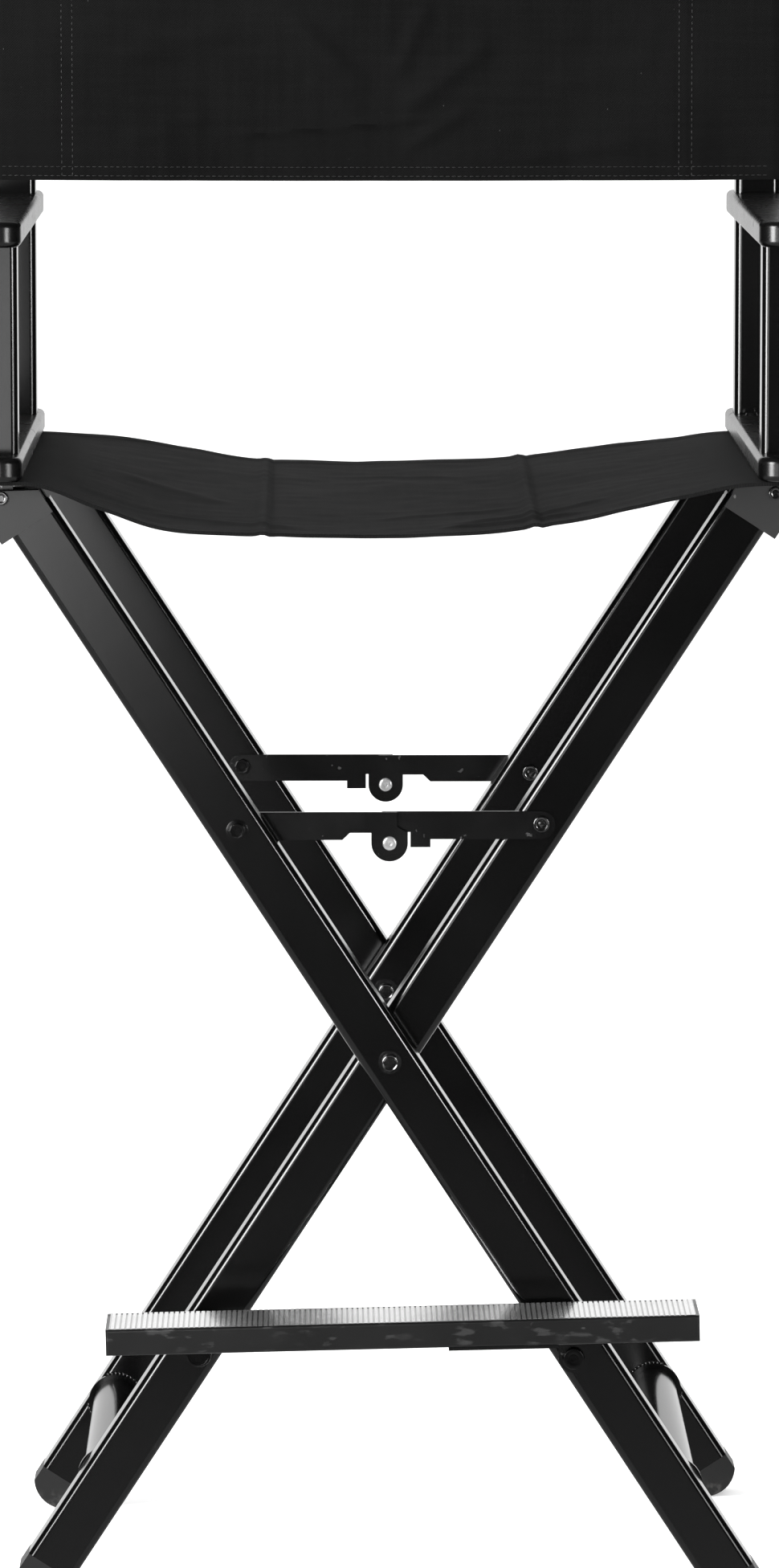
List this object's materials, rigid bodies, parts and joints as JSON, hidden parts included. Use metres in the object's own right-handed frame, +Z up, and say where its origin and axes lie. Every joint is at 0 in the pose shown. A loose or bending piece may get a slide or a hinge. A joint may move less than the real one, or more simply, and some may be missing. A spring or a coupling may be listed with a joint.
{
  "type": "folding director chair",
  "caption": "Tall folding director chair: black cross-leg frame with locking braces, flat armrests, sling seat, band back and a hinged footrest with a ribbed tread.",
  "frame": {"origin": "on the floor, midway between the four feet, under the cross pivots", "axes": "+X to the right as the chair is seen from its front, +Y towards the back of the chair, +Z up"},
  "size_m": [0.5758, 0.4638, 1.1238],
  "materials": {
    "frame": "gloss black coated aluminium section",
    "moulding": "gloss black moulded board",
    "canvas": "matt black woven canvas",
    "tread": "bright ribbed aluminium",
    "cap_plastic": "black plastic end cap",
    "black_steel": "black painted pressed steel",
    "dark_steel": "black zinc fixings",
    "bright_steel": "bright plated fixings"
  },
  "bodies": {
    "left_side": {"left_armrest": "moulding", "left_back_post": "frame", "left_front_lug": "black_steel", "left_front_post": "frame", "left_lug_screws": "dark_steel", "left_post_cap": "cap_plastic", "left_rear_lug": "black_steel", "left_seat_rail": "moulding", "seat_canvas": "canvas", "back_canvas": "canvas"},
    "right_side": {"right_armrest": "moulding", "right_back_post": "frame", "right_front_lug": "black_steel", "right_front_post": "frame", "right_lug_screws": "dark_steel", "right_post_cap": "cap_plastic", "right_rear_lug": "black_steel", "right_seat_rail": "moulding"},
    "outer_legs": {"outer_brace_bolts": "dark_steel", "outer_cross_tube": "frame", "outer_foot_caps": "cap_plastic", "outer_front_knuckle": "frame", "outer_front_leg": "frame", "outer_knuckle_pins": "bright_steel", "outer_rear_knuckle": "frame", "outer_rear_leg": "frame", "outer_tube_flanges": "frame", "pivot_bolts": "bright_steel", "pivot_washers": "bright_steel", "pivot_spacers": "dark_steel", "pivot_nuts": "dark_steel", "footrest_hinge_bolt": "dark_steel", "footrest_hinge_spacer": "dark_steel"},
    "inner_legs": {"inner_brace_bolts": "dark_steel", "inner_cross_tube": "frame", "inner_foot_caps": "cap_plastic", "inner_front_knuckle": "frame", "inner_front_leg": "frame", "inner_knuckle_pins": "bright_steel", "inner_rear_knuckle": "frame", "inner_rear_leg": "frame", "inner_tube_flanges": "frame", "footrest_peg": "dark_steel"},
    "front_left_brace": {"front_left_brace": "black_steel", "front_left_rivet": "bright_steel"},
    "front_right_brace": {"front_right_brace": "black_steel", "front_right_rivet": "bright_steel"},
    "rear_left_brace": {"rear_left_brace": "black_steel", "rear_left_rivet": "bright_steel"},
    "rear_right_brace": {"rear_right_brace": "black_steel", "rear_right_rivet": "bright_steel"},
    "footrest": {"footrest_board": "moulding", "footrest_tread": "tread", "footrest_hinge_bracket": "black_steel", "footrest_hook_bracket": "black_steel", "footrest_screws": "dark_steel"}
  },
  "joints": [
    {"name": "fold", "type": "hinge", "parent": "outer_legs", "child": "inner_legs", "pos_m": [0, 0, 0.37334], "axis": [0, -1, 0], "range_deg": [0, 55], "deforming": ["seat_canvas", "back_canvas"]},
    {"name": "left_knuckle", "type": "hinge", "parent": "left_side", "child": "outer_legs", "pos_m": [-0.25689, 0, 0.75129], "axis": [0, 1, 0], "range_deg": [0, 27.5]},
    {"name": "right_knuckle", "type": "hinge", "parent": "inner_legs", "child": "right_side", "pos_m": [0.25689, 0, 0.75129], "axis": [0, 1, 0], "range_deg": [0, 27.5]},
    {"name": "front_left_brace_pivot", "type": "hinge", "parent": "outer_legs", "child": "front_left_brace", "pos_m": [-0.10157, 0, 0.52916], "axis": [0, -1, 0], "range_deg": [0, 114.8]},
    {"name": "rear_left_brace_pivot", "type": "hinge", "parent": "outer_legs", "child": "rear_left_brace", "pos_m": [-0.10157, 0, 0.52916], "axis": [0, -1, 0], "range_deg": [0, 114.8]},
    {"name": "front_right_brace_pivot", "type": "hinge", "parent": "inner_legs", "child": "front_right_brace", "pos_m": [0.10157, 0, 0.52916], "axis": [0, 1, 0], "range_deg": [0, 114.8]},
    {"name": "rear_right_brace_pivot", "type": "hinge", "parent": "inner_legs", "child": "rear_right_brace", "pos_m": [0.10157, 0, 0.52916], "axis": [0, 1, 0], "range_deg": [0, 114.8]},
    {"name": "footrest_hinge", "type": "hinge", "parent": "outer_legs", "child": "footrest", "pos_m": [0.12282, 0, 0.17395], "axis": [0, 1, 0], "range_deg": [0, 57]}
  ],
  "couplings": [
    {"joint": "left_knuckle", "follows": "fold", "ratio": 0.5},
    {"joint": "right_knuckle", "follows": "fold", "ratio": 0.5},
    {"joint": "front_left_brace_pivot", "follows": "fold", "ratio": 2.0782},
    {"joint": "front_right_brace_pivot", "follows": "fold", "ratio": 2.0782},
    {"joint": "rear_left_brace_pivot", "follows": "fold", "ratio": 2.0782},
    {"joint": "rear_right_brace_pivot", "follows": "fold", "ratio": 2.0782}
  ]
}
